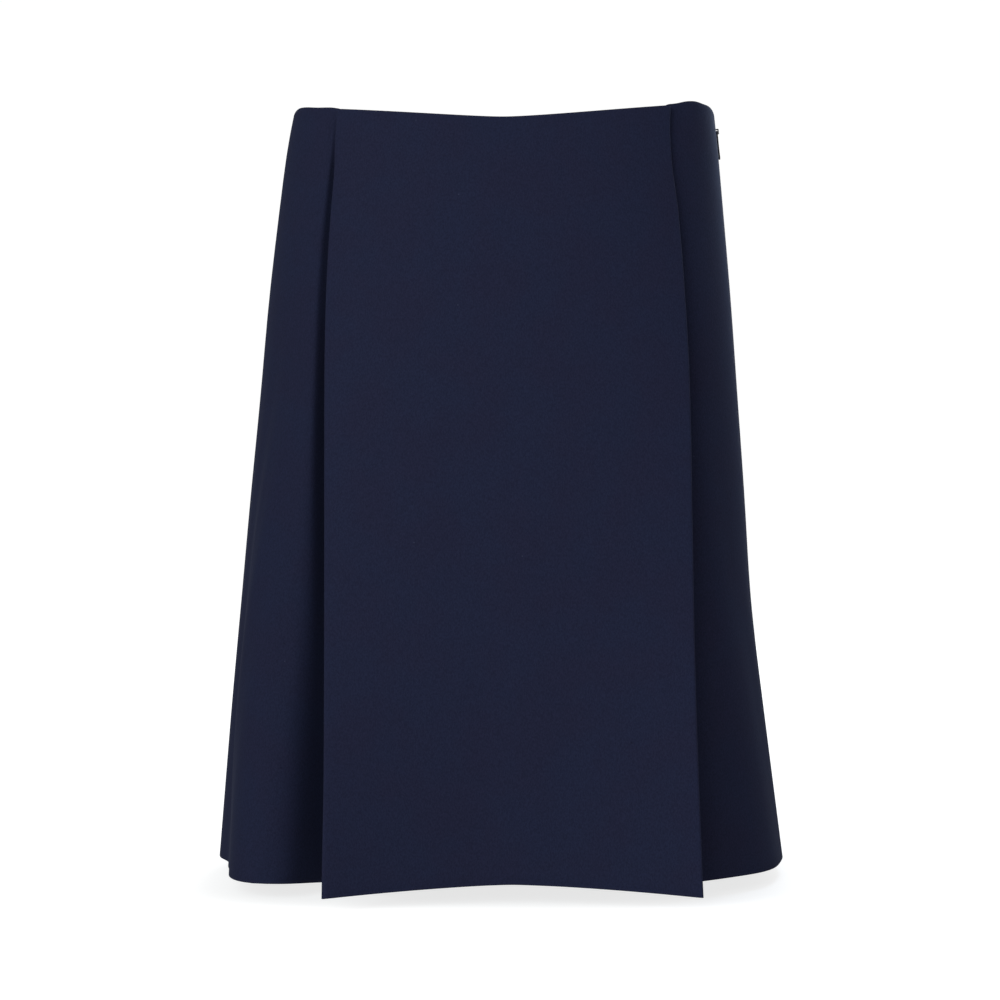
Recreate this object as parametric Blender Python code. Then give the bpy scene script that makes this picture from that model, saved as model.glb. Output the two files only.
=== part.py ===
"""A midi skirt in navy wool crepe, cut and sewn as a hollow tube of cloth walls.

The front panel is folded back under itself along both edges. It stands proud of the
two side fronts as a pair of pleats, which are pressed flat at the waist and open
towards the hem. One back panel closes the tube. An invisible zip sits in the
wearer's left side seam, and its pull tab hangs outside the cloth on a hinge.

Frame: metres, +Z up. The front faces -Y and the wearer's left side is +X. The origin
is in the middle of the waist opening, at the height of the waist at the side seams.
"""

import math

import bpy
from mathutils import Matrix, Vector

MM = 0.001

# Cloth. LAYER is the step from one pressed layer of a pleat to the next.
WALL = 1.5 * MM
SEAM_GAP = 0.3 * MM
LAYER = 2.15 * MM

# The tube of side fronts and back, one row for each height, in millimetres. Left and
# right are the wearer's. All are half sizes from the section's own centre line.
BODY_COLUMNS = ("height", "right", "left", "centre", "front", "back", "squareness")
BODY = (
    (0, 160.7, 167.0, 0.0, 71.6, 75.0, 2.30),
    (-25, 165.7, 169.8, 1.3, 76.2, 80.0, 2.28),
    (-65, 171.2, 173.5, 3.4, 85.4, 89.0, 2.25),
    (-142, 180.6, 180.4, 7.4, 102.6, 101.0, 2.20),
    (-220, 188.0, 186.3, 11.4, 115.4, 105.0, 2.15),
    (-299, 196.2, 192.3, 15.5, 129.7, 108.0, 2.10),
    (-378, 203.7, 197.5, 19.6, 141.3, 111.0, 2.07),
    (-457, 211.6, 207.3, 23.7, 153.7, 113.0, 2.03),
    (-578, 222.4, 223.4, 30.0, 167.7, 118.0, 2.00),
)

# The front panel, one row for each height, in millimetres: how far its two edges lie
# from the centre line, how far forward its edge and its middle stand, how far forward
# the inner seam of each pleat lies, and how deep the pleat is.
PANEL_COLUMNS = ("height", "right", "left", "edge", "middle", "inner", "pleat")
PANEL = (
    (0, 122.6, 129.0, 57.0, 75.0, 64.0, 38.0),
    (-25, 125.0, 128.8, 59.5, 80.0, 67.0, 39.0),
    (-65, 126.2, 130.8, 65.0, 88.0, 73.0, 41.0),
    (-142, 128.5, 136.4, 78.5, 99.0, 82.0, 45.0),
    (-220, 128.3, 139.8, 93.0, 107.0, 90.0, 48.0),
    (-299, 127.8, 140.6, 108.0, 114.0, 98.0, 51.0),
    (-378, 127.4, 140.9, 121.0, 120.0, 104.0, 54.0),
    (-457, 126.8, 141.5, 136.5, 125.0, 109.0, 57.0),
    (-578, 126.5, 144.2, 158.0, 130.0, 114.0, 60.0),
)

# Height of the tube's top edge by angle. Angles run from the centre front, positive
# towards the wearer's left, in degrees. Heights are in millimetres.
WAIST_COLUMNS = ("angle", "height")
WAIST = (
    (-180, 7.0),
    (-130, 3.0),
    (-90, -2.0),
    (-79, 1.4),
    (-73, 2.4),
    (-66, 1.6),
    (-58, -0.2),
    (-50, -1.5),
    (-44, -3.4),
    (46, 0.6),
    (51, 1.9),
    (56, 4.3),
    (62, 5.5),
    (68, 4.6),
    (74, 4.2),
    (80, 2.2),
    (90, -2.0),
    (130, 3.0),
    (180, 7.0),
)

# Soft folds of the tube. Each rises from its start angle to its crest and falls away
# to its end. It is full height at the hem and dies out at its top. Drift is how far
# round its upper end has moved.
FOLD_COLUMNS = ("start", "crest", "end", "rise", "top", "drift")
FOLDS = (
    (-34, -48, -70, 29.0, -225, -14),
    (-66, -76, -88, -3.5, -400, 0),
    (44, 64, 86, 4.5, -300, 0),
    (96, 112, 128, 7.0, -300, 4),
    (132, 150, 168, 11.0, -235, -5),
    (176, 192, 208, 8.0, -280, 3),
    (211, 228, 246, 12.0, -210, 6),
)

# Beside the panel's edge each side front rolls back and in under it: how far it falls
# back there and how wide the roll is, one row for each height, in millimetres.
ROLL_COLUMNS = ("height", "right_fall", "right_width", "left_fall", "left_width")
ROLL = (
    (0, 0.0, 6.0, 0.0, 8.0),
    (-25, 1.0, 6.0, 0.4, 8.0),
    (-65, 3.5, 7.0, 1.0, 8.0),
    (-142, 8.5, 9.5, 1.5, 9.0),
    (-220, 16.0, 13.0, 1.5, 10.0),
    (-299, 22.0, 16.0, 1.5, 11.0),
    (-378, 27.0, 19.0, 1.5, 12.0),
    (-457, 32.0, 24.0, 1.5, 13.0),
    (-578, 38.0, 31.0, 1.5, 14.0),
)
ROLL_POWER = 1.25
ROLL_ROUNDING = 3.0 * MM
ROLL_SAG = 0.13

HEM = -580.0 * MM
PANEL_WAIST_MIDDLE = -13.7 * MM
PANEL_WAIST_EDGE = {-1: -4.1 * MM, 1: -1.2 * MM}
PANEL_HEM_MIDDLE = -576.0 * MM
PANEL_HEM_EDGE = {-1: -581.2 * MM, 1: -580.4 * MM}
HIDDEN_DROP = 1.0 * MM

ROWS = 20
PANEL_STEPS = 22
HIDDEN_STEPS = 5
FOLD_STEPS = 4
SIDE_STEPS = 18
SIDE_SPREAD = 1.4
BACK_STEPS = 32

# Invisible zip.
ZIP_LENGTH = 200.0 * MM
ZIP_TOP = -6.0 * MM
ZIP_SLOT = 1.9 * MM
ZIP_SLOT_END = -34.0 * MM
TAPE_WALL = 0.8 * MM
TAPE_WIDTH = 12.0 * MM
TAPE_STEPS = 3
TAPE_DEPTH = -(WALL / 2 + SEAM_GAP + TAPE_WALL / 2)

# Slider and pull. The pull's window straddles the bridge, and the bar at the window's
# head turns in the bridge's tunnel. Drops are measured down from the bar's centre.
SLIDER_HEIGHT = -11.5 * MM
SLIDER_BODY = (2.2 * MM, 6.4 * MM, 9.0 * MM)
SLIDER_CLEARANCE = 0.5 * MM
BRIDGE_WIDTH = 1.2 * MM
BRIDGE_WALL = 0.8 * MM
TUNNEL_HALF_DEPTH = 0.85 * MM
TUNNEL_HALF_HEIGHT = 1.3 * MM
BAR = 0.8 * MM
PULL_LENGTH = 22.0 * MM
PULL_WALL = 1.0 * MM
PULL_CLEARANCE = 0.4 * MM
PULL_HALF_WIDTH = 2.2 * MM
PULL_SLIMMING = 0.36
WINDOW_DROP = 3.4 * MM
WINDOW_HALF_WIDTH = 1.0 * MM
EYE_DROP = 4.6 * MM

NAVY = (0.0150, 0.0165, 0.0380, 1.0)
TAPE_NAVY = (0.0110, 0.0120, 0.0270, 1.0)
PAINTED_NAVY = (0.0090, 0.0100, 0.0220, 1.0)


def clear_scene():
    for thing in list(bpy.data.objects):
        bpy.data.objects.remove(thing, do_unlink=True)


def material(name, color, roughness, metallic):
    made = bpy.data.materials.new(name)
    made.use_nodes = True
    shader = made.node_tree.nodes["Principled BSDF"]
    shader.inputs["Base Color"].default_value = color
    shader.inputs["Roughness"].default_value = roughness
    shader.inputs["Metallic"].default_value = metallic
    return made


# Reading the tables

def smooth_read(knots, values, at):
    """Value of a smooth curve through the knots, straight beyond its ends."""
    last = len(knots) - 1
    slopes = []
    for k in range(last + 1):
        before, after = max(k - 1, 0), min(k + 1, last)
        slopes.append((values[after] - values[before]) / (knots[after] - knots[before]))
    if at <= knots[0]:
        return values[0] + slopes[0] * (at - knots[0])
    if at >= knots[last]:
        return values[last] + slopes[last] * (at - knots[last])
    k = max(i for i in range(last) if knots[i] <= at)
    width = knots[k + 1] - knots[k]
    t = (at - knots[k]) / width
    rise = t * t * (3 - 2 * t)
    return (values[k] * (1 - rise) + values[k + 1] * rise
            + width * t * (1 - t) * ((1 - t) * slopes[k] - t * slopes[k + 1]))


def table_reader(columns, rows):
    """A function of a column's name and a place in the first column, in millimetres."""
    ordered = sorted(rows)
    knots = [row[0] for row in ordered]
    listed = {name: [row[i] for row in ordered] for i, name in enumerate(columns)}

    def read(name, at):
        return smooth_read(knots, listed[name], at)

    return read


read_body = table_reader(BODY_COLUMNS, BODY)
read_panel = table_reader(PANEL_COLUMNS, PANEL)
read_waist = table_reader(WAIST_COLUMNS, WAIST)
read_roll = table_reader(ROLL_COLUMNS, ROLL)


# The tube's section

def body_size(name, z):
    size = read_body(name, z / MM)
    return size if name == "squareness" else size * MM


def half_width(side, z):
    """Half width of the cloth's middle surface, side -1 being the wearer's right."""
    return body_size("left" if side > 0 else "right", z) - WALL / 2


def half_depth(facing, z):
    return body_size(facing, z) - WALL / 2


def eased(share):
    """0 to 1 with a level start and end, held beyond them."""
    return 0.5 - 0.5 * math.cos(math.pi * min(max(share, 0.0), 1.0))


def bump(angle, start, crest, end):
    """Soft ridge of height 1 at the crest, falling to 0 at the start and the end."""
    return eased(min((angle - start) / (crest - start), (end - angle) / (end - crest)))


def fold_rise(angle, z):
    """How far the folds move the cloth outwards at an angle and a height."""
    total = 0.0
    for row in FOLDS:
        fold = dict(zip(FOLD_COLUMNS, row))
        share = (fold["top"] * MM - z) / (fold["top"] * MM - HEM)
        if share <= 0:
            continue
        drift = fold["drift"] * (1 - min(share, 1.0))
        place = angle - drift
        turn = 360 * round((place - fold["crest"]) / 360)
        lift = bump(place - turn, fold["start"], fold["crest"], fold["end"])
        total += lift * fold["rise"] * MM * share ** 1.1
    return total


def body_point(angle, z):
    """Point of the tube's middle surface, at degrees from the centre front."""
    turn = math.radians(angle)
    across, along = math.sin(turn), math.cos(turn)
    power = 2 / body_size("squareness", z)
    width = half_width(1 if across > 0 else -1, z)
    depth = half_depth("front" if along > 0 else "back", z)
    middle = Vector((0, body_size("centre", z), z))
    spoke = Vector((math.copysign(width * abs(across) ** power, across),
                    -math.copysign(depth * abs(along) ** power, along), 0))
    return middle + spoke + spoke.normalized() * fold_rise(angle, z)


def body_front(x, z):
    """Y of the tube's front half at a given x, without folds."""
    n = body_size("squareness", z)
    share = min(abs(x) / half_width(1 if x > 0 else -1, z), 1.0)
    return body_size("centre", z) - half_depth("front", z) * (1 - share ** n) ** (1 / n)


def angle_at(x, z):
    """Angle from the centre front at which the tube reaches a given x."""
    n = body_size("squareness", z)
    share = abs(x) / half_width(1 if x > 0 else -1, z)
    return math.copysign(math.degrees(math.asin(share ** (n / 2))), x)


def seam_angle(side, facing, z, gap):
    """Angle of a piece's edge at a side seam, half a gap short of the seam line."""
    n = body_size("squareness", z)
    short = math.degrees(math.asin((gap / 2 / half_depth(facing, z)) ** (n / 2)))
    return side * (90 - short if facing == "front" else 90 + short)


def side_seam_gap(side, z):
    """The zip's seam is open round the slider and closed below it."""
    if side < 0:
        return SEAM_GAP
    share = min(max((ZIP_SLOT_END - z) / (10 * MM), 0.0), 1.0)
    return ZIP_SLOT + (SEAM_GAP - ZIP_SLOT) * share


# The front panel's section

def panel_edge(side, z):
    """X of the middle surface where the panel's fold begins."""
    edge = read_panel("left" if side > 0 else "right", z / MM) * MM
    return side * (edge - WALL / 2 - LAYER / 2)


def panel_across(x, z):
    """Place across the panel, from -1 at its right edge to 1 at its left edge."""
    left, right = panel_edge(1, z), panel_edge(-1, z)
    return min(max((2 * x - left - right) / (left - right), -1.0), 1.0)


def panel_x(across, z):
    left, right = panel_edge(1, z), panel_edge(-1, z)
    return (left + right + across * (left - right)) / 2


def panel_front(x, z):
    """Y of the panel's middle surface, round at the waist and hollow at the hem."""
    edge = -read_panel("edge", z / MM) * MM + WALL / 2
    middle = -read_panel("middle", z / MM) * MM + WALL / 2
    power = 2.6 - 0.8 * z / HEM
    return edge + (middle - edge) * (1 - abs(panel_across(x, z)) ** power)


def roll_fall(side, beyond, z):
    """How far the side front falls back, at a distance beyond the panel's edge."""
    name = "left" if side > 0 else "right"
    way = math.hypot(beyond, ROLL_ROUNDING) - ROLL_ROUNDING
    share = max(1 - way / (read_roll(name + "_width", z / MM) * MM), 0.0)
    return read_roll(name + "_fall", z / MM) * MM * share ** ROLL_POWER


def hidden_x(side, inward, z):
    """X under the panel, from its edge at 0 to the pleat's inner seam at 1."""
    return panel_edge(side, z) - side * inward * read_panel("pleat", z / MM) * MM


def hidden_body(side, inward, z):
    """Y of the side front where it runs in under the panel."""
    x = hidden_x(side, inward, z)
    seam = -read_panel("inner", z / MM) * MM
    shift = seam - body_front(hidden_x(side, 1.0, z), z)
    flat = max(body_front(x, z) + shift * inward ** 2, panel_front(x, z) + 2 * LAYER)
    return flat + roll_fall(side, 0.0, z) * eased(1 - inward)


def underlay(side, inward, z):
    """Y of the panel's own cloth, turned back under it as far as the inner seam."""
    front = panel_front(hidden_x(side, inward, z), z)
    room = hidden_body(side, inward, z) - front - 2 * LAYER
    return front + LAYER + room * inward


# Heights of the edges

def body_top(angle):
    turned = angle - 360 if angle > 180 else angle
    return read_waist("height", turned) * MM


def panel_height(across, middle, edge, power):
    side = 1 if across > 0 else -1
    return middle + (edge[side] - middle) * abs(across) ** power


def panel_top(across):
    return panel_height(across, PANEL_WAIST_MIDDLE, PANEL_WAIST_EDGE, 1.4)


def panel_hem(across):
    return panel_height(across, PANEL_HEM_MIDDLE, PANEL_HEM_EDGE, 1.1)


def hidden_top(x):
    """Height of a pleat's hidden layers at the waist, just below the panel's edge."""
    return panel_top(panel_across(x, 0.0)) - HIDDEN_DROP


def row_shares():
    """Places of the rows from 0 at the waist to 1 at the hem, closer at the waist."""
    return [(i / ROWS) ** 1.2 for i in range(ROWS + 1)]


# Walls of cloth

def heading(line, k):
    """Direction of a line of points at its k-th point, curved on to its own ends."""
    last = len(line) - 1
    if k == 0:
        return 4 * line[1] - line[2] - 3 * line[0]
    if k == last:
        return 3 * line[last] - 4 * line[last - 1] + line[last - 2]
    return line[k + 1] - line[k - 1]


def normals(grid):
    """Outward direction at each point of a grid of rows from the top down."""
    columns = list(zip(*grid))
    return [[heading(columns[j], i).cross(heading(row, j)).normalized()
             for j in range(len(row))] for i, row in enumerate(grid)]


def moved(grid, distance):
    """The grid moved along its own normals, as cloth that lies on other cloth."""
    return [[point + normal * distance for point, normal in zip(row, line)]
            for row, line in zip(grid, normals(grid))]


def solid(name, points, faces, made_of):
    mesh = bpy.data.meshes.new(name)
    mesh.from_pydata(points, [], faces)
    mesh.materials.append(made_of)
    mesh.update()
    mesh.shade_smooth()
    mesh.set_sharp_from_angle(angle=math.radians(40))
    thing = bpy.data.objects.new(name, mesh)
    bpy.context.collection.objects.link(thing)
    return thing


def wall(name, grid, thickness, made_of):
    """Closed wall of even thickness about a grid of points."""
    rows, columns = len(grid), len(grid[0])
    sheets = (moved(grid, thickness / 2), moved(grid, -thickness / 2))
    points = [point for sheet in sheets for row in sheet for point in row]

    def at(sheet, i, j):
        return sheet * rows * columns + i * columns + j

    faces = []
    for i in range(rows - 1):
        for j in range(columns - 1):
            faces.append((at(0, i, j), at(0, i + 1, j), at(0, i + 1, j + 1), at(0, i, j + 1)))
            faces.append((at(1, i, j), at(1, i, j + 1), at(1, i + 1, j + 1), at(1, i + 1, j)))
    for j in range(columns - 1):
        low = rows - 1
        faces.append((at(0, 0, j), at(0, 0, j + 1), at(1, 0, j + 1), at(1, 0, j)))
        faces.append((at(0, low, j + 1), at(0, low, j), at(1, low, j), at(1, low, j + 1)))
    for i in range(rows - 1):
        end = columns - 1
        faces.append((at(0, i + 1, 0), at(0, i, 0), at(1, i, 0), at(1, i + 1, 0)))
        faces.append((at(0, i, end), at(0, i + 1, end), at(1, i + 1, end), at(1, i, end)))
    return solid(name, points, faces, made_of)


# The pieces

def underlay_row(side, share):
    """Points from the pleat's inner seam out to the panel's folded edge."""
    row = []
    for k in range(HIDDEN_STEPS, 0, -1):
        inward = k / HIDDEN_STEPS
        top = hidden_top(hidden_x(side, inward, 0.0))
        hem = panel_hem(panel_across(hidden_x(side, inward, HEM), HEM))
        z = top + (hem - top) * share
        row.append(Vector((hidden_x(side, inward, z), underlay(side, inward, z), z)))
    return row


def fold_row(side, share):
    """Points round the panel's folded edge, from its back to its front."""
    top = panel_top(side)
    z = top + (panel_hem(side) - top) * share
    x, y = panel_edge(side, z), panel_front(panel_edge(side, z), z)
    row = []
    for k in range(FOLD_STEPS + 1):
        turn = math.pi * k / FOLD_STEPS
        row.append(Vector((x + side * LAYER / 2 * math.sin(turn),
                           y + LAYER / 2 * (1 + math.cos(turn)), z)))
    return row


def face_row(share):
    """Points across the panel's face, between its folded edges."""
    row = []
    for k in range(1, PANEL_STEPS):
        across = 2 * k / PANEL_STEPS - 1
        top = panel_top(across)
        z = top + (panel_hem(across) - top) * share
        x = panel_x(across, z)
        row.append(Vector((x, panel_front(x, z), z)))
    return row


def front_panel():
    """The panel, its two folded edges and the underlays turned back behind it."""
    grid = []
    for share in row_shares():
        right = underlay_row(-1, share) + fold_row(-1, share)
        left = underlay_row(1, share) + fold_row(1, share)
        grid.append(right + face_row(share) + left[::-1])
    return grid


def side_point(side, part, z):
    """Point of a side front, from the panel's edge at 0 to the side seam at 1."""
    start = angle_at(panel_edge(side, z), z)
    end = seam_angle(side, "front", z, side_seam_gap(side, z))
    point = body_point(start + (end - start) * part, z)
    beyond = side * (point.x - panel_edge(side, z))
    return point + Vector((0, roll_fall(side, beyond, z), 0))


def side_hem(side, part):
    """Height of a side front's hem, which sags where the cloth rolls back."""
    beyond = side * (side_point(side, part, HEM).x - panel_edge(side, HEM))
    return HEM - ROLL_SAG * roll_fall(side, beyond, HEM)


def hidden_hem(side, inward):
    return HEM - ROLL_SAG * roll_fall(side, 0.0, HEM) * eased(1 - inward)


def side_front(side):
    """One side front, from its inner pleat seam under the panel to the side seam."""
    grid = []
    for share in row_shares():
        row = []
        for k in range(HIDDEN_STEPS, 0, -1):
            inward = k / HIDDEN_STEPS
            top = hidden_top(hidden_x(side, inward, 0.0))
            z = top + (hidden_hem(side, inward) - top) * share
            row.append(Vector((hidden_x(side, inward, z), hidden_body(side, inward, z), z)))
        waist_start = angle_at(panel_edge(side, 0.0), 0.0)
        for k in range(SIDE_STEPS + 1):
            part = (k / SIDE_STEPS) ** SIDE_SPREAD
            top = body_top(waist_start + (side * 90 - waist_start) * part)
            z = top + (side_hem(side, part) - top) * share
            row.append(side_point(side, part, z))
        grid.append(row if side > 0 else row[::-1])
    return grid


def back_panel():
    """The back, from one side seam round to the other."""
    grid = []
    for share in row_shares():
        row = []
        for k in range(BACK_STEPS + 1):
            part = k / BACK_STEPS
            top = body_top(90 + 180 * part)
            z = top + (HEM - top) * share
            start = seam_angle(1, "back", z, side_seam_gap(1, z))
            end = 360 + seam_angle(-1, "back", z, side_seam_gap(-1, z))
            row.append(body_point(start + (end - start) * part, z))
        grid.append(row)
    return grid


def clipped(grid, top, bottom):
    """The rows of a grid between two heights, with its first and last cut to them."""
    rows = []
    for above, below in zip(grid, grid[1:]):
        high, low = above[0].z, below[0].z
        for height in (top, bottom):
            if low < height < high:
                share = (high - height) / (high - low)
                rows.append([a.lerp(b, share) for a, b in zip(above, below)])
        if bottom < low < top:
            rows.append(below)
    return sorted(rows, key=lambda row: -row[0].z)


def along(row, distance):
    """Point at a distance along a row of points."""
    for near, far in zip(row, row[1:]):
        length = (far - near).length
        if distance <= length:
            return near.lerp(far, distance / length)
        distance -= length
    return row[-1]


def zip_tape(lining_face):
    """Grid of one tape of the zip, from points inside the cloth with its edge first."""
    rows = []
    for row in lining_face:
        start = (ZIP_SLOT - side_seam_gap(1, row[0].z)) / 2
        rows.append([along(row, start + TAPE_WIDTH * k / TAPE_STEPS)
                     for k in range(TAPE_STEPS + 1)])
    return clipped(rows, ZIP_TOP, ZIP_TOP - ZIP_LENGTH)


def mirrored(grid):
    """The same grid with its columns in the other order."""
    return [row[::-1] for row in grid]


def block(name, low, high, made_of):
    corners = [Vector((x, y, z)) for x in (low[0], high[0])
               for y in (low[1], high[1]) for z in (low[2], high[2])]
    faces = [(0, 1, 3, 2), (4, 6, 7, 5), (0, 4, 5, 1), (2, 3, 7, 6), (0, 2, 6, 4), (1, 5, 7, 3)]
    return solid(name, corners, faces, made_of)


def cut(thing, tool, operation):
    """Boolean with a hidden tool that moves with the piece."""
    change = thing.modifiers.new(tool.name, "BOOLEAN")
    change.operation = operation
    change.object = tool
    tool.parent = thing
    tool.hide_render = True
    tool.display_type = "WIRE"


def zip_hinge():
    """Empty on the pull's hinge, turned so that its -Z runs down the cloth."""
    foot = SLIDER_HEIGHT - PULL_LENGTH
    upper = body_point(90, SLIDER_HEIGHT)
    lower = body_point(90, foot)
    lean = math.atan2(lower.x - upper.x, upper.z - lower.z)
    stand_off = WALL / 2 + PULL_CLEARANCE + PULL_WALL / 2
    hinge = bpy.data.objects.new("zip_hinge", None)
    hinge.empty_display_size = PULL_LENGTH
    outward = Vector((math.cos(lean), 0, math.sin(lean)))
    hinge.matrix_world = Matrix.Translation(upper + outward * stand_off) @ Matrix.Rotation(
        -lean, 4, "Y")
    bpy.context.collection.objects.link(hinge)
    return hinge


def zip_slider(hinge, metal):
    """Bridge outside the cloth, neck through the seam and body behind the tapes."""
    crown = TUNNEL_HALF_DEPTH + BRIDGE_WALL
    reach = TUNNEL_HALF_HEIGHT + BRIDGE_WALL
    cloth = PULL_WALL / 2 + PULL_CLEARANCE + WALL
    behind = cloth + SEAM_GAP + TAPE_WALL + SLIDER_CLEARANCE
    depth, width, height = SLIDER_BODY
    neck = behind + depth / 2
    slider = block("zip_slider", (-neck, -BRIDGE_WIDTH / 2, -reach),
                   (crown, BRIDGE_WIDTH / 2, reach), metal)
    tunnel = block("zip_tunnel", (-TUNNEL_HALF_DEPTH, -BRIDGE_WIDTH, -TUNNEL_HALF_HEIGHT),
                   (TUNNEL_HALF_DEPTH, BRIDGE_WIDTH, TUNNEL_HALF_HEIGHT), metal)
    body = block("zip_slider_body", (-behind - depth, -width / 2, -height / 2),
                 (-behind, width / 2, height / 2), metal)
    cut(slider, tunnel, "DIFFERENCE")
    cut(slider, body, "UNION")
    slider.parent = hinge
    return slider


def pull_half_width(drop):
    """Half width of the pull: square at its eye, slim below it, full at its end."""
    share = (drop - EYE_DROP) / (PULL_LENGTH - PULL_HALF_WIDTH - EYE_DROP)
    slim = math.sin(math.pi * min(max(share, 0.0), 1.0))
    return PULL_HALF_WIDTH * (1 - PULL_SLIMMING * slim)


def pull_outline():
    """Outline of the pull in Y and Z, from its head down one side and up the other."""
    end = PULL_LENGTH - PULL_HALF_WIDTH
    drops = [-BAR / 2] + [EYE_DROP + (end - EYE_DROP) * k / 8 for k in range(9)]
    side = [(pull_half_width(drop), -drop) for drop in drops]
    for k in range(1, 6):
        turn = math.pi / 2 * k / 6
        side.append((PULL_HALF_WIDTH * math.cos(turn), -end - PULL_HALF_WIDTH * math.sin(turn)))
    return side + [(0, -PULL_LENGTH)] + [(-y, z) for y, z in reversed(side)]


def zip_pull(hinge, metal):
    """Flat tab with a window at its head, whose top bar lies in the slider's tunnel."""
    outline = pull_outline()
    count = len(outline)
    points = [Vector((x, y, z)) for x in (-PULL_WALL / 2, PULL_WALL / 2) for y, z in outline]
    faces = [tuple(range(count)), tuple(reversed(range(count, 2 * count)))]
    for k in range(count):
        after = (k + 1) % count
        faces.append((k, k + count, after + count, after))
    pull = solid("zip_pull", points, faces, metal)
    window = block("zip_window", (-PULL_WALL, -WINDOW_HALF_WIDTH, -WINDOW_DROP),
                   (PULL_WALL, WINDOW_HALF_WIDTH, -BAR / 2), metal)
    cut(pull, window, "DIFFERENCE")
    pull.parent = hinge
    return pull


clear_scene()
crepe = material("wool_crepe", NAVY, 0.85, 0.0)
tape = material("zip_tape", TAPE_NAVY, 0.8, 0.0)
painted = material("painted_zip_metal", PAINTED_NAVY, 0.45, 0.3)

left_front, back = side_front(1), back_panel()
wall("front_panel", front_panel(), WALL, crepe)
wall("side_front_left", left_front, WALL, crepe)
wall("side_front_right", side_front(-1), WALL, crepe)
wall("back_panel", back, WALL, crepe)
tape_back = zip_tape(moved(back, TAPE_DEPTH))
tape_front = mirrored(zip_tape(mirrored(moved(left_front, TAPE_DEPTH))))
wall("zip_tape_back", tape_back, TAPE_WALL, tape)
wall("zip_tape_front", tape_front, TAPE_WALL, tape)
zip_seat = zip_hinge()
zip_slider(zip_seat, painted)
zip_pull(zip_seat, painted)
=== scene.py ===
import math

import bmesh
import bpy
import numpy as np
from mathutils import Matrix, Vector
from mathutils.bvhtree import BVHTree


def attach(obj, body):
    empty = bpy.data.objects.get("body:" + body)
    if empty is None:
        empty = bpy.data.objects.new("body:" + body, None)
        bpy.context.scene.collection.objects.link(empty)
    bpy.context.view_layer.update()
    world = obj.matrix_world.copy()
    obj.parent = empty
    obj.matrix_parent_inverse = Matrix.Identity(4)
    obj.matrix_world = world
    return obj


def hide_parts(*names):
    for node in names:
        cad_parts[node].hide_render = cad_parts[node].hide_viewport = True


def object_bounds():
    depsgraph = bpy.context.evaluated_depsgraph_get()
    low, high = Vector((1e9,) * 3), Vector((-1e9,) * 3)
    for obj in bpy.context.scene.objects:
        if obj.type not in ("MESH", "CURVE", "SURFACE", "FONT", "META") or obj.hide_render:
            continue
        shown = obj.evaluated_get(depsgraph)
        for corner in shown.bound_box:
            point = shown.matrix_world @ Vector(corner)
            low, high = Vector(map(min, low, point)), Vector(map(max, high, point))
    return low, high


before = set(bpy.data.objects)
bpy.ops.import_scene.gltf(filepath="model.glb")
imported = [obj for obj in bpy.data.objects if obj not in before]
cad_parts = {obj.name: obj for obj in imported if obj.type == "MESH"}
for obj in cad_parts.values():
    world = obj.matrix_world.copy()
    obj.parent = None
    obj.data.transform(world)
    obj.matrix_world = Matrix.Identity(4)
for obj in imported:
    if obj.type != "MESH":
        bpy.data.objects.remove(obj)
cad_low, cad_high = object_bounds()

MM = 0.001


# The camera stands level in front of the skirt, at mid height, as for a catalogue cut-out.
# The lens gives the photograph's square frame.

CAMERA_PLACE = (0.0, -1.6656, -0.299)
SENSOR_WIDTH = 36.0
FOCAL_SHARE = 2.133

camera = bpy.data.objects.new("camera", bpy.data.cameras.new("camera"))
camera.location = CAMERA_PLACE
camera.rotation_euler = (math.radians(90), 0, 0)
camera.data.sensor_width = SENSOR_WIDTH
camera.data.lens = SENSOR_WIDTH * FOCAL_SHARE
bpy.context.collection.objects.link(camera)
bpy.context.scene.camera = camera


# Wool crepe: a matt, close, pebbly cloth of tightly twisted yarn, piece-dyed navy. It is
# bought as one length, and all four cloth pieces of the skirt are cut from it.

NAVY_COOL = (0.0138, 0.0172, 0.0455, 1.0)
NAVY_WARM = (0.0148, 0.0160, 0.0425, 1.0)
LINT = (0.040, 0.045, 0.085, 1.0)
SLUB = (0.0070, 0.0078, 0.0210, 1.0)
MOTTLE_SIZE = 38 * MM
YARN_SIZE = 0.9 * MM
PEBBLE_SIZE = 1.7 * MM
SPECK_SPACING = 16 * MM
LIGHT_RADIUS, LIGHT_DRAW = (0.02, 0.045), (0.10, 0.12)
DARK_RADIUS, DARK_DRAW = (0.03, 0.06), (0.88, 0.90)


class Socket:
    """An output of one of a material's nodes. Arithmetic on it adds Math nodes."""

    def __init__(self, tree, output=None):
        self.tree = tree
        self.output = output

    def add(self, kind, settings=None, inputs=None, output=0):
        """A new node: its settings are made first, then its sockets filled or linked."""
        node = self.tree.nodes.new(kind)
        for name, value in (settings or {}).items():
            setattr(node, name, value)
        for name, value in (inputs or {}).items():
            if isinstance(value, Socket):
                self.tree.links.new(value.output, node.inputs[name])
            else:
                node.inputs[name].default_value = value
        return Socket(self.tree, node.outputs[output])

    def math(self, operation, *terms):
        return self.add("ShaderNodeMath", {"operation": operation}, dict(enumerate(terms)))

    def __add__(self, other):
        return self.math("ADD", self, other)

    def __sub__(self, other):
        return self.math("SUBTRACT", self, other)

    def __rsub__(self, other):
        return self.math("SUBTRACT", other, self)

    def __mul__(self, other):
        return self.math("MULTIPLY", self, other)

    def ramp(self, low, high):
        """This value taken from low..high to 0..1, held at both ends."""
        return self.add("ShaderNodeMapRange", {"interpolation_type": "SMOOTHSTEP"},
                        {"Value": self, "From Min": low, "From Max": high})


def mixed(share, first, second):
    """First colour where share is 0, second where it is 1."""
    return share.add("ShaderNodeMix", {"data_type": "RGBA"},
                     {"Factor": share, "A": first, "B": second}, output=2)


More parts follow.
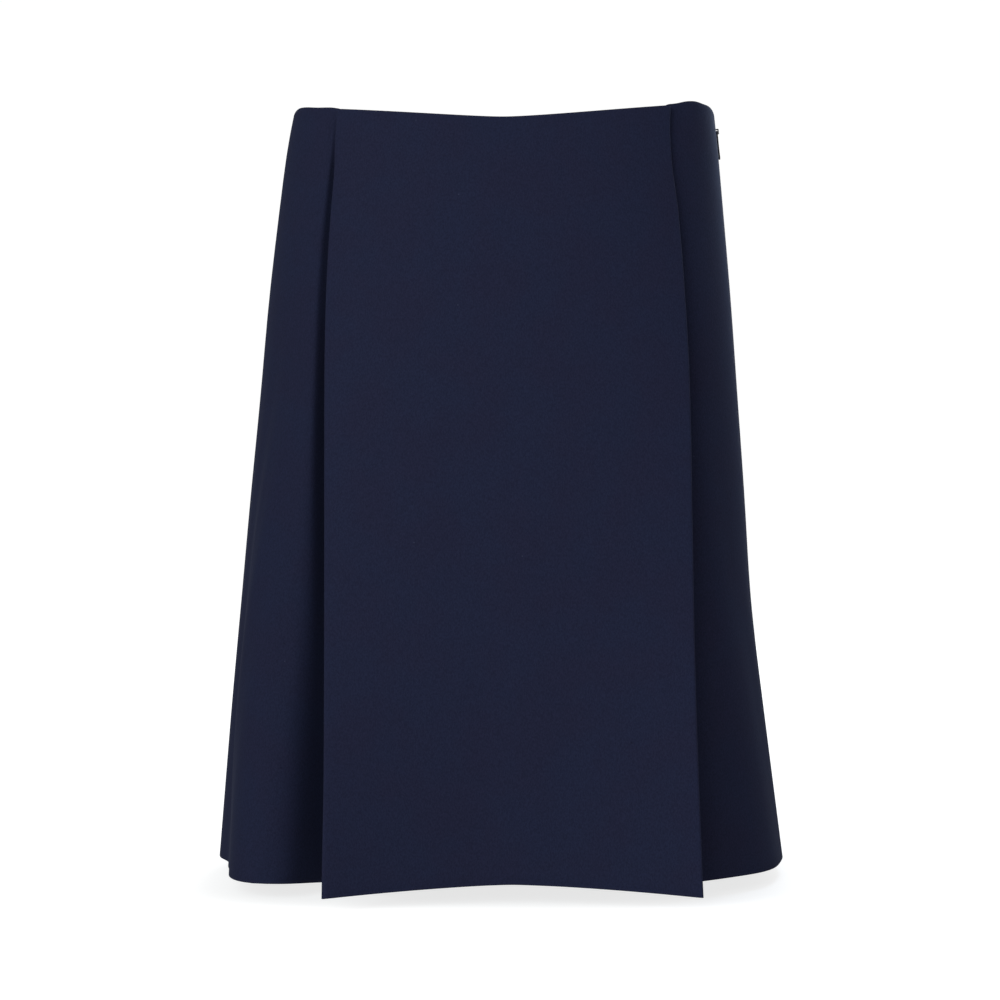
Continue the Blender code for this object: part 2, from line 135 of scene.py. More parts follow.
def noise(place, size, detail=2.0, rough=0.5, stretch=(1, 1, 1)):
    """Cloudy value about 0.5, with features of a given size in metres."""
    spread = place.add("ShaderNodeVectorMath", {"operation": "MULTIPLY"},
                       {0: place, 1: tuple(1 / size / s for s in stretch)})
    return spread.add("ShaderNodeTexNoise", None,
                      {"Vector": spread, "Scale": 1.0, "Detail": detail, "Roughness": rough})


def new_finish(name, constants):
    """A material with its constant values set on the shader's own sockets."""
    made = bpy.data.materials.new(name)
    made.use_nodes = True
    shader = made.node_tree.nodes["Principled BSDF"]
    for socket, value in constants.items():
        shader.inputs[socket].default_value = value
    place = Socket(made.node_tree).add("ShaderNodeTexCoord", output="Object")
    return made, shader, place


def wire(shader, name, value):
    """Links a value to one of the shader's own sockets."""
    value.tree.links.new(value.output, shader.inputs[name])


def crepe_finish():
    crepe, shader, place = new_finish("wool_crepe", {
        "Specular IOR Level": 0.14, "Sheen Weight": 0.05, "Sheen Roughness": 0.5,
        "Sheen Tint": (0.55, 0.62, 1.0, 1.0)})
    mottle = noise(place, MOTTLE_SIZE, 3.0, 0.55).ramp(0.34, 0.66)
    yarn = noise(place, YARN_SIZE, 2.0, 0.6, (1, 1, 1.8))
    pebble = noise(place, PEBBLE_SIZE, 3.0, 0.6, (1, 1, 1.4))
    color = mixed(mottle, NAVY_COOL, NAVY_WARM)
    color = mixed(yarn.ramp(0.3, 0.7) * 0.5, color, SLUB)
    spots = {"Vector": place, "Scale": 1 / SPECK_SPACING}
    cells = place.add("ShaderNodeTexVoronoi", None, spots)
    chance = place.add("ShaderNodeTexVoronoi", None, spots, output="Color")
    draw = chance.add("ShaderNodeSeparateColor", None, {"Color": chance})
    light_speck = (1 - cells.ramp(*LIGHT_RADIUS)) * (1 - draw.ramp(*LIGHT_DRAW))
    dark_speck = (1 - cells.ramp(*DARK_RADIUS)) * draw.ramp(*DARK_DRAW)
    color = mixed(light_speck * 0.6, color, LINT)
    color = mixed(dark_speck * 0.7, color, SLUB)
    wire(shader, "Base Color", color)
    wire(shader, "Roughness", yarn * 0.16 + 0.78)
    relief = pebble * 0.6 + yarn * 0.4
    bump = relief.add("ShaderNodeBump", None,
                      {"Height": relief, "Strength": 0.55, "Distance": 0.25 * MM})
    wire(shader, "Normal", bump)
    return crepe


crepe = crepe_finish()

# The skirt hangs in long soft creases, one row for each. The angles at a crease's start and
# foot, from the centre front towards the wearer's left, and its half width are in degrees.
# Its top, its foot and its rise, or fall if negative, are in millimetres.
CREASE_COLUMNS = ("start", "foot_angle", "top", "foot", "spread", "rise")
CREASES = (
    (-64, -73, -150, -600, 3.4, 1.3),
    (-73, -80, -120, -600, 3.6, -1.6),
    (-52, -58, -230, -520, 5.0, -0.8),
    (62, 67, -190, -600, 5.5, 0.9),
    (73, 79, -330, -600, 5.0, -1.0),
    (-18, -12, -40, -360, 6.0, -0.35),
    (10, 6, -240, -600, 7.0, 0.40),
    (-3, -6, -330, -560, 5.0, -0.30),
    (104, 101, -240, -600, 5.5, 1.8),
    (119, 123, -160, -600, 6.0, -2.0),
    (133, 138, -280, -600, 4.5, 1.5),
    (147, 144, -130, -470, 5.0, -1.2),
    (163, 167, -250, -600, 6.5, 2.2),
    (178, 176, -180, -600, 5.0, -1.9),
    (196, 199, -320, -600, 5.0, 1.4),
    (211, 208, -110, -520, 6.5, -1.6),
    (229, 233, -240, -600, 5.5, 1.9),
    (247, 243, -190, -600, 6.0, -2.1),
    (259, 256, -330, -600, 4.0, 1.2),
)
CREASE_WIDENING = 0.6
CREASE_GROWTH = 0.45
CREASE_FADE = 0.6
FADE_START, FADE_LENGTH = 0.8, 0.4
ENDS_ABOVE = -580 * MM


def rounded(share):
    """0 to 1 with a level start and end."""
    held = np.clip(share, 0, 1)
    return held * held * (3 - 2 * held)


def section_middle(height):
    """Y of the middle of the tube, which leans back a little towards the hem."""
    return -0.052 * height


# An iron has drawn the front panel's folded edges a little outwards, or inwards where
# negative, and has pushed the right side front in beside and under the panel's edge. One
# row for each height, in millimetres.
PRESS_COLUMNS = ("height", "right_out", "left_out", "push", "width")
PRESSED = (
    (0, 0.0, 0.0, 0.0, 3.0),
    (-25, -0.6, -0.4, 1.8, 4.0),
    (-50, -1.1, 0.2, 4.2, 5.5),
    (-80, 0.1, 2.0, 4.4, 7.0),
    (-116, 0.9, 1.8, 4.2, 8.5),
    (-153, 1.3, 1.4, 4.0, 9.5),
    (-197, 1.6, 1.2, 4.8, 10.5),
    (-227, 1.5, 0.8, 5.5, 12.0),
    (-299, 0.9, 0.2, 5.0, 14.0),
    (-384, 0.2, 0.0, 3.5, 15.0),
    (-500, -0.5, 0.0, 1.2, 15.0),
    (-575, 0.0, 0.0, 0.0, 15.0),
)
FOLD_START, FOLD_WIDTH = 95 * MM, 25 * MM
PUSH_MARGIN = 1 * MM
UNDER_REACH, UNDER_FADE = 8 * MM, 22 * MM
EDGE_BAND = 20 * MM

panel_corners = np.array([corner.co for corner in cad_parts["front_panel"].data.vertices])
edge_heights = np.linspace(-560 * MM, -20 * MM, 19)
right_edge = [panel_corners[np.abs(panel_corners[:, 2] - height) < EDGE_BAND, 0].min()
              for height in edge_heights]


def pressed(points, node):
    """The points of the cloths beside the pleats as the iron leaves them."""
    x, z = points[:, 0], points[:, 2]
    press = {name: np.interp(-z, [-row[0] * MM for row in PRESSED],
                             [row[k] * MM for row in PRESSED])
             for k, name in enumerate(PRESS_COLUMNS)}
    if node == "front_panel":
        out = np.where(x < 0, -press["right_out"], press["left_out"])
        points[:, 0] += out * rounded((np.abs(x) - FOLD_START) / FOLD_WIDTH)
    if node == "side_front_right":
        beyond = np.interp(z, edge_heights, right_edge) - press["right_out"] - x
        beside = 1 - rounded((beyond + PUSH_MARGIN) / press["width"])
        under = 1 - rounded((-beyond - UNDER_REACH) / UNDER_FADE)
        points[:, 1] += press["push"] * beside * under
    return points


def hung(points, node=None):
    """The points moved out or in with the creases, all layers of cloth alike."""
    moved = pressed(np.array(points, float), node)
    x, y, z = moved[:, 0], moved[:, 1] - section_middle(moved[:, 2]), moved[:, 2]
    angle = np.degrees(np.arctan2(x, -y))
    push = np.zeros(len(moved))
    for row in CREASES:
        crease = dict(zip(CREASE_COLUMNS, row))
        top, foot = crease["top"] * MM, crease["foot"] * MM
        down = (top - z) / (top - foot)
        middle = crease["start"] + (crease["foot_angle"] - crease["start"]) * down
        across = (angle - middle + 180) % 360 - 180
        spread = crease["spread"] * (1 + CREASE_WIDENING * np.clip(down, 0, 1))
        ridge = rounded(1 - np.abs(across) / spread)
        fade = CREASE_FADE * rounded((down - FADE_START) / FADE_LENGTH) * (foot > ENDS_ABOVE)
        length = rounded(down / CREASE_GROWTH) * (1 - fade)
        push += crease["rise"] * MM * ridge * length * (down > 0)
    reach = np.hypot(x, y)
    moved[:, 0] += x / reach * push
    moved[:, 1] += y / reach * push
    return moved


SHARP = math.radians(60)
CLOTH_MERGE = 0.02 * MM
CLOTH_RIM = 0.55 * MM


def joined_faces(node):
    """A new mesh from a CAD node: corners merged, and each pair of triangles one face."""
    built = bmesh.new()
    built.from_mesh(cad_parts[node].data)
    bmesh.ops.remove_doubles(built, verts=built.verts, dist=CLOTH_MERGE)
    diagonals = [edge for edge in built.edges if len(edge.link_faces) == 2 and all(
        edge.calc_length() >= max(side.calc_length() for side in face.edges) - 1e-9
        for face in edge.link_faces) and edge.calc_face_angle() < SHARP]
    bmesh.ops.dissolve_edges(built, edges=diagonals, use_verts=False)
    left_over = [face for face in built.faces if len(face.verts) == 3]
    bmesh.ops.join_triangles(built, faces=left_over, angle_face_threshold=SHARP / 2,
                             angle_shape_threshold=SHARP)
    return built


def placed(name, built):
    """An object of a bmesh, which is freed."""
    mesh = bpy.data.meshes.new(name)
    built.to_mesh(mesh)
    built.free()
    thing = bpy.data.objects.new(name, mesh)
    bpy.context.collection.objects.link(thing)
    return thing


def add_bevel(thing, width, angle):
    edge = thing.modifiers.new("rim", "BEVEL")
    edge.width = width
    edge.segments = 3
    edge.limit_method = "ANGLE"
    edge.angle_limit = angle
    return edge


def settled(thing):
    """The object with its modifiers made part of its mesh."""
    made = bpy.data.meshes.new_from_object(
        thing.evaluated_get(bpy.context.evaluated_depsgraph_get()))
    thing.modifiers.clear()
    thing.data = made
    return thing


def finished(name, built, levels, rim):
    """An object of a bmesh: rims kept sharp, then subdivided and rounded."""
    layer = built.edges.layers.float.new("crease_edge")
    for edge in built.edges:
        if len(edge.link_faces) == 2 and edge.calc_face_angle() > SHARP:
            edge[layer] = 1.0
    thing = placed(name, built)
    fine = thing.modifiers.new("fine", "SUBSURF")
    fine.levels = fine.render_levels = levels
    add_bevel(thing, rim, SHARP)
    return settled(thing)


def hang(thing, node=None):
    """Gives a cloth piece the skirt's creases, and its own node's pressing."""
    count = len(thing.data.vertices)
    flat = np.empty(count * 3)
    thing.data.vertices.foreach_get("co", flat)
    thing.data.vertices.foreach_set("co", hung(flat.reshape(count, 3), node).ravel())
    thing.data.update()


def dressed(thing, finish, body="skirt"):
    """Gives a piece its finish, and makes it move with its body."""
    thing.data.materials.clear()
    thing.data.materials.append(finish)
    thing.data.shade_smooth()
    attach(thing, body)
    return thing


def cloth_piece(name, node, with_pieces):
    """A cloth piece in crepe. Its thin layers and stitches are made before the call; with_pieces,
    which holds them, is not used.
    """
    thing = finished(name, joined_faces(node), levels=2, rim=CLOTH_RIM)
    hang(thing, node)
    dressed(thing, crepe)
    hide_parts(node)


# Inside, the hem is turned up once and caught down by hand, and the side seams are
# pressed open with their raw edges overcast. Each is a thin layer on its cloth.

TURNED_WALL = 0.9 * MM
TURNED_LIFT = 0.05 * MM
EDGE_WALL = 0.4 * MM
HEM_LINE = -570 * MM
ZIP_FOOT = -208 * MM
SEAM_REACH = 2.5 * MM
SEAM_GAP = 0.5 * MM
PANEL_HALF_WIDTH = 112 * MM
BESIDE_BODY = 100 * MM
NARROWEST = 4 * MM
PAST_WALL = 3 * MM


def from_seam(point):
    """How far a point is from the plane of the side seams."""
    return abs(point.y - section_middle(point.z))


def on_lining_side(face, walls):
    """Whether a face is on the inside of the tube and no other layer lies before it."""
    middle = face.calc_center_median()
    inwards = Vector((-middle.x, section_middle(middle.z) - middle.y, 0)).normalized()
    shortest = min(edge.calc_length() for edge in face.edges)
    if face.normal.dot(inwards) < 0.3 or shortest < NARROWEST:
        return False
    outwards = Vector((0, -1, 0)) if abs(middle.x) < PANEL_HALF_WIDTH else -inwards
    return walls.ray_cast(middle + outwards * PAST_WALL, outwards)[0] is None


def at_hem(face):
    return min(corner.co.z for corner in face.verts) < HEM_LINE


def at_panel_hem(face):
    return at_hem(face) and max(abs(corner.co.x) for corner in face.verts) < PANEL_HALF_WIDTH


def at_seam(face, side):
    return any(from_seam(corner.co) < SEAM_REACH and side * corner.co.x > BESIDE_BODY
               for corner in face.verts)


def at_right_seam(face):
    return at_seam(face, -1)


def at_left_seam(face):
    return max(corner.co.z for corner in face.verts) < ZIP_FOOT and at_seam(face, 1)


def turned_layer(name, node, wanted, edge_wanted):
    """A thin layer on a cloth's lining side, and the guide line along its free edge."""
    built = joined_faces(node)
    walls = BVHTree.FromBMesh(built)
    spare = [face for face in built.faces if not (wanted(face) and on_lining_side(face, walls))]
    bmesh.ops.delete(built, geom=spare, context="FACES")
    built.normal_update()
    lift = TURNED_LIFT + TURNED_WALL
    edges = [edge for edge in built.edges
             if edge.is_boundary and all(edge_wanted(v.co) for v in edge.verts)]
    corners = list({v for edge in edges for v in edge.verts})
    corners.sort(key=lambda v: tuple(round(c, 6) for c in v.co))
    number = {v: k for k, v in enumerate(corners)}
    points = []
    for v in corners:
        near = [e.other_vert(v).co for e in v.link_edges if e in edges]
        smooth = (4 * v.co + near[0] + near[1]) / 6 if len(near) == 2 else v.co
        points.append(smooth + v.normal * lift)
    guide = (hung(points, node), [v.normal.copy() for v in corners],
             [(number[e.verts[0]], number[e.verts[1]]) for e in edges])
    for v in built.verts:
        v.co = v.co + v.normal * TURNED_LIFT
        if from_seam(v.co) < SEAM_GAP:
            v.co.y = section_middle(v.co.z)
    thing = placed(name, built)
    body = thing.modifiers.new("body", "SOLIDIFY")
    body.thickness = TURNED_WALL
    body.offset = 1.0
    body.edge_crease_inner = body.edge_crease_outer = body.edge_crease_rim = 1.0
    fine = thing.modifiers.new("fine", "SUBSURF")
    fine.levels = fine.render_levels = 2
    settled(thing)
    hang(thing, node)
    return dressed(thing, crepe), guide


# Rows of hand and machine stitches, and of the zip's teeth, are one small item repeated
# along a guide line. Each kind of stitch has its spacing and the angle it lies at.

THREAD = 0.22 * MM
HEM_STITCH = (5.5 * MM, math.radians(28))
SEAM_OVERCAST = (2.4 * MM, math.radians(52))
PLEAT_OVERCAST = (1.9 * MM, math.radians(68))
TAPE_STITCH = (3.6 * MM, 0.0)
COIL_PITCH = (0.9 * MM, math.radians(9))
RING_STEPS, WIRE_SIDES = 12, 5
THREAD_NAVY = (0.016, 0.018, 0.045, 1.0)
TWIST_SIZE = 0.6 * MM


def row_tree():
    """Node tree that sets an item along a guide mesh, every other one turned the other way."""
    tree = bpy.data.node_groups.new("item_row", "GeometryNodeTree")
    face = tree.interface
    for name, kind in (("Guide", "NodeSocketGeometry"), ("Item", "NodeSocketObject"),
                       ("Spacing", "NodeSocketFloat"), ("Turn", "NodeSocketFloat"),
                       ("Finish", "NodeSocketMaterial")):
        face.new_socket(name=name, in_out="INPUT", socket_type=kind)
    face.new_socket(name="Row", in_out="OUTPUT", socket_type="NodeSocketGeometry")
    given = {socket.name: Socket(tree, socket) for socket in tree.nodes.new(
        "NodeGroupInput").outputs}
    start = given["Guide"]
    line = start.add("GeometryNodeMeshToCurve", None, {"Mesh": start})
    points = line.add("GeometryNodeResampleCurve", {"mode": "LENGTH"},
                      {"Curve": line, "Length": given["Spacing"]})
    along = start.add("GeometryNodeInputTangent")
    facing = start.add("GeometryNodeInputNamedAttribute", {"data_type": "FLOAT_VECTOR"},
                       {"Name": "facing"})
    axes = start.add("FunctionNodeAxesToRotation", {"primary_axis": "X", "secondary_axis": "Z"},
                     {"Primary Axis": along, "Secondary Axis": facing})
    place = start.add("GeometryNodeInputIndex")
    turn = (place.math("MODULO", place, 2.0) * 2.0 - 1.0) * given["Turn"]
    swing = turn.add("ShaderNodeCombineXYZ", None, {"Z": turn})
    swung = swing.add("FunctionNodeEulerToRotation", None, {"Euler": swing})
    rotation = axes.add("FunctionNodeRotateRotation", {"rotation_space": "LOCAL"},
                        {"Rotation": axes, "Rotate By": swung})
    item = start.add("GeometryNodeObjectInfo", None, {"Object": given["Item"]}, output="Geometry")
    many = points.add("GeometryNodeInstanceOnPoints", None,
                      {"Points": points, "Instance": item, "Rotation": rotation})
    real = many.add("GeometryNodeRealizeInstances", None, {"Geometry": many})
    done = real.add("GeometryNodeSetMaterial", None,
                    {"Geometry": real, "Material": given["Finish"]})
    tree.links.new(done.output, tree.nodes.new("NodeGroupOutput").inputs["Row"])
    return tree


item_row = row_tree()


def row_of(name, guides, item, set_out, finish):
    """Items along guide lines, each a set of points, normals and edges."""
    spacing, turn = set_out
    points, facings, edges = [], [], []
    for spots, normals, links in guides:
        edges += [(a + len(points), b + len(points)) for a, b in links]
        points += [tuple(spot) for spot in spots]
        facings += [tuple(normal) for normal in normals]
    mesh = bpy.data.meshes.new(name)
    mesh.from_pydata(points, edges, [])
    facing = mesh.attributes.new("facing", "FLOAT_VECTOR", "POINT")
    facing.data.foreach_set("vector", np.array(facings).ravel())
    thing = bpy.data.objects.new(name, mesh)
    bpy.context.collection.objects.link(thing)
    change = thing.modifiers.new("row", "NODES")
    change.node_group = item_row
    values = {"Item": item, "Spacing": spacing, "Turn": turn, "Finish": finish}
    for socket in item_row.interface.items_tree:
        if socket.name in values:
            change[socket.identifier] = values[socket.name]
    settled(thing)
    return dressed(thing, finish)


def grain(name, length):
    """A stitch: a short thread that dips into the cloth at both ends."""
    built = bmesh.new()
    bmesh.ops.create_uvsphere(built, u_segments=8, v_segments=6, radius=1.0,
                              matrix=Matrix.Rotation(math.radians(90), 4, "Y"))
    bmesh.ops.scale(built, verts=built.verts, vec=(length / 2, THREAD, THREAD))
    return placed(name, built)


def ring(name, half_width, half_depth, wire_radius):
    """One turn of a zip's coil, seen along the zip as a flattened ring."""
    built = bmesh.new()
    loops = []
    for k in range(RING_STEPS):
        turn = math.tau * k / RING_STEPS
        middle = Vector((0, half_width * math.cos(turn), half_depth * math.sin(turn)))
        spoke = Vector((0, math.cos(turn), math.sin(turn)))
        round_wire = [math.tau * j / WIRE_SIDES for j in range(WIRE_SIDES)]
        loops.append([built.verts.new(middle + spoke * wire_radius * math.cos(around)
                                      + Vector((wire_radius * math.sin(around), 0, 0)))
                      for around in round_wire])
    for near, far in zip(loops, loops[1:] + loops[:1]):
        for j in range(WIRE_SIDES):
            after = (j + 1) % WIRE_SIDES
            built.faces.new((near[j], far[j], far[after], near[after]))
    bmesh.ops.recalc_face_normals(built, faces=built.faces)
    return placed(name, built)


def thread_finish():
    """Navy polyester sewing thread, with a slight gleam."""
    thread, shader, place = new_finish("sewing_thread", {
        "Base Color": THREAD_NAVY, "Specular IOR Level": 0.35})
    wire(shader, "Roughness", noise(place, TWIST_SIZE).ramp(0.3, 0.7) * 0.2 + 0.45)
    return thread


thread = thread_finish()
long_stitch = grain("long_stitch", 4.6 * MM)
short_stitch = grain("short_stitch", 3.0 * MM)


def above_turn_up(point):
    return point.z > HEM_LINE


def clear_of_seam(point):
    return from_seam(point) > SEAM_REACH


def hem_and_seams(name, node, hem_wanted, seams):
    """The turned-up hem and pressed seams of a cloth, with their stitches."""
    hem, hem_line = turned_layer(name + "_hem", node, hem_wanted, above_turn_up)
    pieces = [hem, row_of(name + "_hem_stitches", [hem_line], long_stitch, HEM_STITCH,
                          thread)]
    for side, wanted in seams:
        seam, line = turned_layer(name + "_seam_" + side, node, wanted, clear_of_seam)
        pieces += [seam, row_of(name + "_overcast_" + side, [line], short_stitch,
                                SEAM_OVERCAST, thread)]
    return pieces


PLEAT_SEAM_FROM, PLEAT_SEAM_TO = 55 * MM, 95 * MM
WIDEST_END = 2.5 * MM
EDGE_RIM = 0.12 * MM


def pleat_end(node, side):
    """Pairs of corners of a cloth's raw end at a pleat's inner seam, from the top down."""
    built = joined_faces(node)
    ends = [face for face in built.faces if face.normal.x * side < -0.6
            and PLEAT_SEAM_FROM < side * face.calc_center_median().x < PLEAT_SEAM_TO
            and min(edge.calc_length() for edge in face.edges) < WIDEST_END]
    corners = sorted({v for face in ends for v in face.verts}, key=lambda v: -v.co.z)
    spots = [v.co.copy() for v in corners]
    built.free()
    return list(zip(spots[::2], spots[1::2]))


def lofted(name, rings):
    """A closed bar through rings of four or more corners each."""
    built = bmesh.new()
    loops = [[built.verts.new(corner) for corner in ring] for ring in rings]
    for near, far in zip(loops, loops[1:]):
        for j in range(len(near)):
            built.faces.new((near[j - 1], far[j - 1], far[j], near[j]))
    built.faces.new(loops[0])
    built.faces.new(loops[-1][::-1])
    bmesh.ops.recalc_face_normals(built, faces=built.faces)
    return finished(name, built, levels=1, rim=EDGE_RIM)


def bound_edge(node, side):
    """The two raw edges of a pleat's inner seam, overcast together."""
    inwards = Vector((-side, 0, 0))
    rings, middles = [], []
    for panel_pair, side_pair in zip(pleat_end("front_panel", side), pleat_end(node, side)):
        front = min(panel_pair, key=lambda p: p.y)
        rear = max(side_pair, key=lambda p: p.y)
        corners = [front, rear, rear + inwards * EDGE_WALL, front + inwards * EDGE_WALL]
        rings.append([corner + inwards * TURNED_LIFT for corner in corners])
        middles.append((front + rear) / 2 + inwards * (EDGE_WALL + TURNED_LIFT))
    edge = lofted(node + "_pleat_edge", rings)
    hang(edge)
    links = [(k, k + 1) for k in range(len(middles) - 1)]
    line = (hung(middles), [inwards] * len(middles), links)
    return [dressed(edge, crepe),
            row_of(node + "_pleat_overcast", [line], short_stitch, PLEAT_OVERCAST,
                   thread)]


# The front panel is one width of cloth. Its two sides are pressed back under it as the
# underlays of the pleats, and are seamed to the side fronts behind.

cloth_piece("front_panel_cloth", "front_panel",
            hem_and_seams("front_panel", "front_panel", at_panel_hem, ()))


# The two side fronts run from the pleats' inner seams round to the side seams. On the
# left, the side seam is pressed open only below the zip.

cloth_piece("side_front_right_cloth", "side_front_right",
            hem_and_seams("side_front_right", "side_front_right", at_hem,
                          (("right", at_right_seam),))
            + bound_edge("side_front_right", -1))
cloth_piece("side_front_left_cloth", "side_front_left",
            hem_and_seams("side_front_left", "side_front_left", at_hem,
                          (("left", at_left_seam),))
            + bound_edge("side_front_left", 1))


# The back is one plain width, shaped by its two side seams. The photo doesn't show it, so
# it has soft creases and nothing else.

cloth_piece("back_cloth", "back_panel",
            hem_and_seams("back", "back_panel", at_hem,
                          (("right", at_right_seam), ("left", at_left_seam))))


# The zip is an invisible one, sewn behind the left side seam: two woven tapes with a
# nylon coil between them, a slider, and a slim enamelled pull that hangs outside.

TAPE_DARK, TAPE_LIGHT = (0.0075, 0.0085, 0.020, 1.0), (0.014, 0.0155, 0.036, 1.0)
ENAMEL_DARK, ENAMEL_LIGHT = (0.0090, 0.0100, 0.0240, 1.0), (0.0115, 0.0130, 0.0290, 1.0)
NYLON_DARK, NYLON_LIGHT = (0.009, 0.010, 0.024, 1.0), (0.013, 0.015, 0.033, 1.0)
WEFT_PITCH, WARP_SIZE = 0.55 * MM, 0.35 * MM
WEAR_SIZE = 4 * MM
NYLON_SIZE, GLEAM_SIZE = 1.1 * MM, 0.8 * MM
TAPE_RIM = 0.15 * MM
TAPE_STEPS = 48
TAPE_TOP, TAPE_FOOT = -14 * MM, -203 * MM
STITCH_LINE = 5.5 * MM
COIL_TOP = -15.2 * MM
COIL_LINE = 1.4 * MM
COIL_LIFT = 0.4 * MM


def tape_finish():
    tape, shader, place = new_finish("zip_tape", {"Specular IOR Level": 0.25})
    apart = place.add("ShaderNodeSeparateXYZ", None, {"Vector": place}, output="Z")
    weft = apart.math("SINE", apart * (math.tau / WEFT_PITCH)) * 0.5 + 0.5
    warp = noise(place, WARP_SIZE, 1.0, 0.5, (1, 1, 6)).ramp(0.35, 0.65)
    relief = weft * 0.5 + warp * 0.5
    wire(shader, "Base Color", mixed(relief, TAPE_DARK, TAPE_LIGHT))
    wire(shader, "Roughness", relief * 0.15 + 0.62)
    wire(shader, "Normal", relief.add("ShaderNodeBump", None, {
        "Height": relief, "Strength": 0.6, "Distance": 0.12 * MM}))
    return tape


def enamel_finish():
    enamel, shader, place = new_finish("zip_enamel", {
        "Metallic": 0.3, "Specular IOR Level": 0.35, "Coat Weight": 0.12, "Coat Roughness": 0.3})
    wear = noise(place, WEAR_SIZE, 3.0, 0.6).ramp(0.42, 0.62)
    wire(shader, "Base Color", mixed(wear, ENAMEL_DARK, ENAMEL_LIGHT))
    wire(shader, "Roughness", wear * 0.16 + 0.42)
    return enamel


def coil_finish():
    coil, shader, place = new_finish("nylon_coil", {"Specular IOR Level": 0.5})
    cloudy = noise(place, NYLON_SIZE).ramp(0.35, 0.65)
    wire(shader, "Base Color", mixed(cloudy, NYLON_DARK, NYLON_LIGHT))
    wire(shader, "Roughness", noise(place, GLEAM_SIZE).ramp(0.3, 0.7) * 0.15 + 0.35)
    return coil


tape_weave = tape_finish()
zip_enamel = enamel_finish()
nylon = coil_finish()


def down_the_tapes(first, last, offset, lift):
    """Guide line down the inside of the zip, at an offset in Y from the seam."""
    points = []
    for k in range(TAPE_STEPS + 1):
        height = first + (last - first) * k / TAPE_STEPS
        found = []
        for side in ((-1, 1) if offset == 0 else (math.copysign(1, offset),)):
            reach = abs(offset) if offset else COIL_LINE
            start = Vector((BESIDE_BODY, section_middle(height) + side * reach, height))
            found.append(tape_walls[side].ray_cast(start, Vector((1, 0, 0)))[0])
        middle = sum(found, Vector()) / len(found)
        points.append(middle + Vector((lift, 0, 0)))
    links = [(k, k + 1) for k in range(TAPE_STEPS)]
    return hung(points), [(-1, 0, 0)] * len(points), links


tape_walls = {}
for side, node in ((-1, "zip_tape_front"), (1, "zip_tape_back")):
    built = joined_faces(node)
    tape_walls[side] = BVHTree.FromBMesh(built)
    tape = finished(node + "_weave", built, levels=1, rim=TAPE_RIM)
    hang(tape)
    dressed(tape, tape_weave)
    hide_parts(node)
    stitch_line = down_the_tapes(TAPE_TOP, TAPE_FOOT, side * STITCH_LINE, 0)
    stitches = row_of(node + "_stitches", [stitch_line], short_stitch, TAPE_STITCH,
                      thread)

coil_ring = ring("coil_ring", half_width=0.70 * MM, half_depth=0.42 * MM, wire_radius=0.20 * MM)
coil_line = down_the_tapes(COIL_TOP, TAPE_FOOT, 0, COIL_LIFT)
row_of("zip_coil", [coil_line], coil_ring, COIL_PITCH, nylon)

# The coil turns round a flat cord, which runs on below the last turn to the start of the
# pressed seam, so that no light comes through at the zip's foot.
CORD_HALF_DEPTH, CORD_HALF_WIDTH = 0.30 * MM, 0.88 * MM
CORD_TAIL = 22 * MM
cord_spots = list(coil_line[0])
downwards = cord_spots[-1] - cord_spots[-2]
cord_spots.append(cord_spots[-1] + downwards / np.linalg.norm(downwards) * CORD_TAIL)
cord = lofted("zip_cord", [[Vector(spot) + Vector((x * CORD_HALF_DEPTH, y * CORD_HALF_WIDTH, 0))
                            for x, y in ((-1, -1), (-1, 1), (1, 1), (1, -1))]
                           for spot in cord_spots])
dressed(cord, tape_weave)

METAL_MERGE = 0.01 * MM
METAL_FLAT = math.radians(1)
METAL_EDGE = math.radians(30)


def metal_piece(name, node, width, body):
    """A zip's metal part with its edges rounded."""
    built = bmesh.new()
    built.from_mesh(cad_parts[node].data)
    bmesh.ops.remove_doubles(built, verts=built.verts, dist=METAL_MERGE)
    bmesh.ops.dissolve_limit(built, angle_limit=METAL_FLAT, verts=built.verts,
                             edges=built.edges)
    thing = placed(name, built)
    add_bevel(thing, width, METAL_EDGE).harden_normals = True
    thing.data.shade_smooth()
    settled(thing)
    dressed(thing, zip_enamel, body)
    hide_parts(node)


metal_piece("slider_metal", "zip_slider", 0.22 * MM, "skirt")
metal_piece("pull_metal", "zip_pull", 0.24 * MM, "pull")

for item in (long_stitch, short_stitch, coil_ring):
    bpy.data.objects.remove(item, do_unlink=True)


# Studio: a plain pale floor just under the hem, a white surround, and soft lamps. The floor glows
# white by its own emission, but for a painted shadow, a soft grey patch about as wide as the hem.

FLOOR_GAP = 7 * MM
FLOOR_RADIUS = 6.0
FLOOR_SEGMENTS = 96
FLOOR_WHITE = (1.02, 1.02, 1.02, 1.0)
PAINTED_SHADOW_GREY = (0.765, 0.765, 0.765, 1.0)
SHADOW_HALF_WIDTH = 270 * MM
SHADOW_HALF_DEPTH = 155 * MM
SHADOW_CORE = 0.16

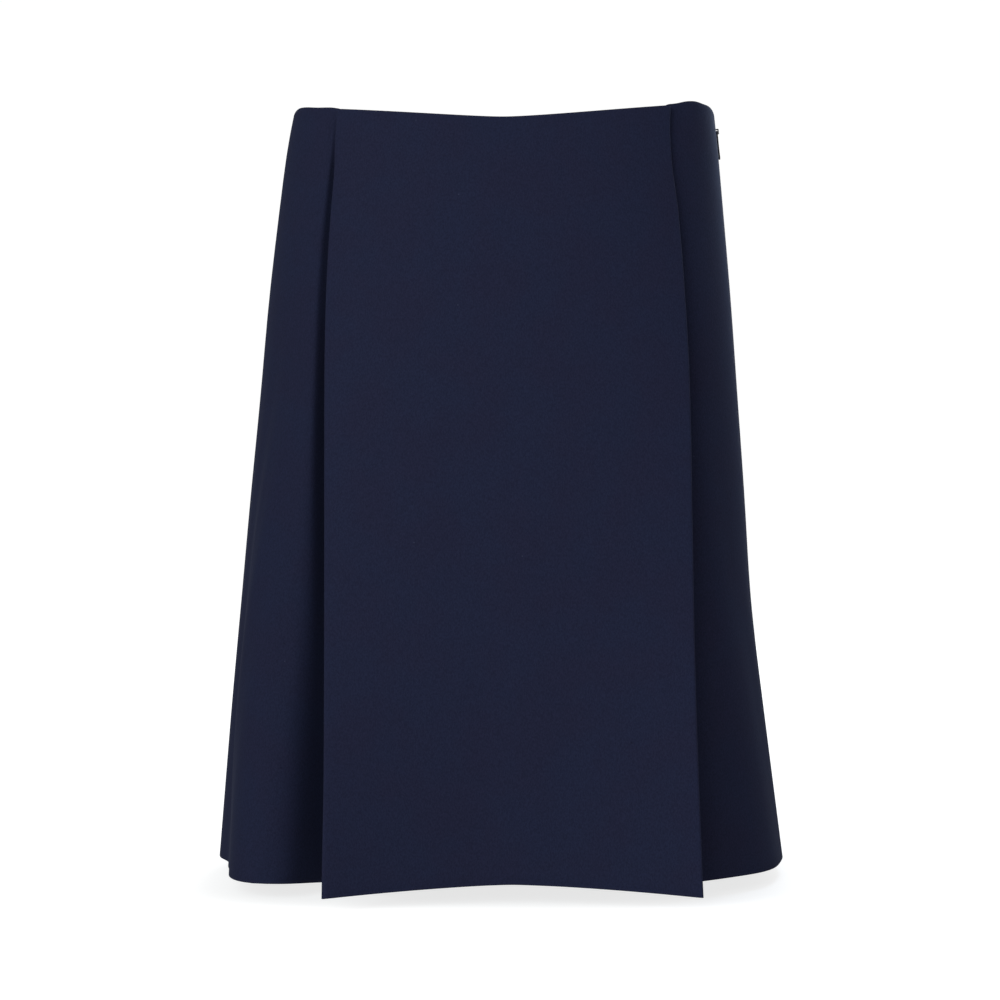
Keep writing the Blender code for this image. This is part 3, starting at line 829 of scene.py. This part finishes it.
built = bmesh.new()
bmesh.ops.create_circle(built, cap_ends=True, radius=FLOOR_RADIUS, segments=FLOOR_SEGMENTS)
bmesh.ops.translate(built, verts=built.verts, vec=(0, 0, cad_low.z - FLOOR_GAP))
floor = placed("floor", built)
paper, shader, place = new_finish("studio_paper", {
    "Base Color": (0.35, 0.35, 0.35, 1.0), "Roughness": 0.9, "Specular IOR Level": 0.0,
    "Emission Strength": 1.0})
across = place.add("ShaderNodeSeparateXYZ", None, {"Vector": place}, output="X")
ahead = place.add("ShaderNodeSeparateXYZ", None, {"Vector": place}, output="Y")
# Painted shadow: the floor's glow is grey under the skirt and fades to white at a hem-shaped
# edge.
away = (across.math("POWER", across * (1 / SHADOW_HALF_WIDTH), 4.0)
        + ahead.math("POWER", ahead * (1 / SHADOW_HALF_DEPTH), 4.0))
wire(shader, "Emission Color", mixed(away.ramp(SHADOW_CORE, 1.0), PAINTED_SHADOW_GREY, FLOOR_WHITE))
floor.data.materials.append(paper)
floor.visible_diffuse = False
floor.visible_glossy = False

LAMP_COLUMNS = ("name", "place", "size", "power", "color")
LAMPS = (
    ("key", (-1.35, -2.35, 0.40), 2.5, 69.0, (0.88, 0.97, 1.0)),
    ("side", (2.05, -1.65, -0.35), 1.1, 16.0, (0.90, 0.95, 1.0)),
    ("edge", (0.42, 0.27, 0.22), 0.20, 1.9, (0.64, 0.79, 1.0)),
    ("behind", (0.65, 2.55, 0.60), 1.4, 24.0, (0.90, 0.96, 1.0)),
)
AIM = Vector((0.0, 0.0, -0.28))

for row in LAMPS:
    lamp = dict(zip(LAMP_COLUMNS, row))
    light = bpy.data.lights.new(lamp["name"], "AREA")
    light.size = lamp["size"]
    light.energy = lamp["power"]
    light.color = lamp["color"]
    holder = bpy.data.objects.new(lamp["name"], light)
    holder.location = lamp["place"]
    holder.visible_camera = False
    holder.rotation_euler = (AIM - Vector(lamp["place"])).to_track_quat("-Z", "Y").to_euler()
    bpy.context.collection.objects.link(holder)

AMBIENT = 0.17
BACKDROP_WHITE = 1.02
world = bpy.data.worlds.new("studio")
world.use_nodes = True
bpy.context.scene.world = world
sky = Socket(world.node_tree)
seen = sky.add("ShaderNodeLightPath", output="Is Camera Ray")
strength = seen * (BACKDROP_WHITE - AMBIENT) + AMBIENT
background = world.node_tree.nodes["Background"]
background.inputs["Color"].default_value = (1.0, 1.0, 1.0, 1.0)
world.node_tree.links.new(strength.output, background.inputs["Strength"])
bpy.context.scene.view_settings.view_transform = "Standard"
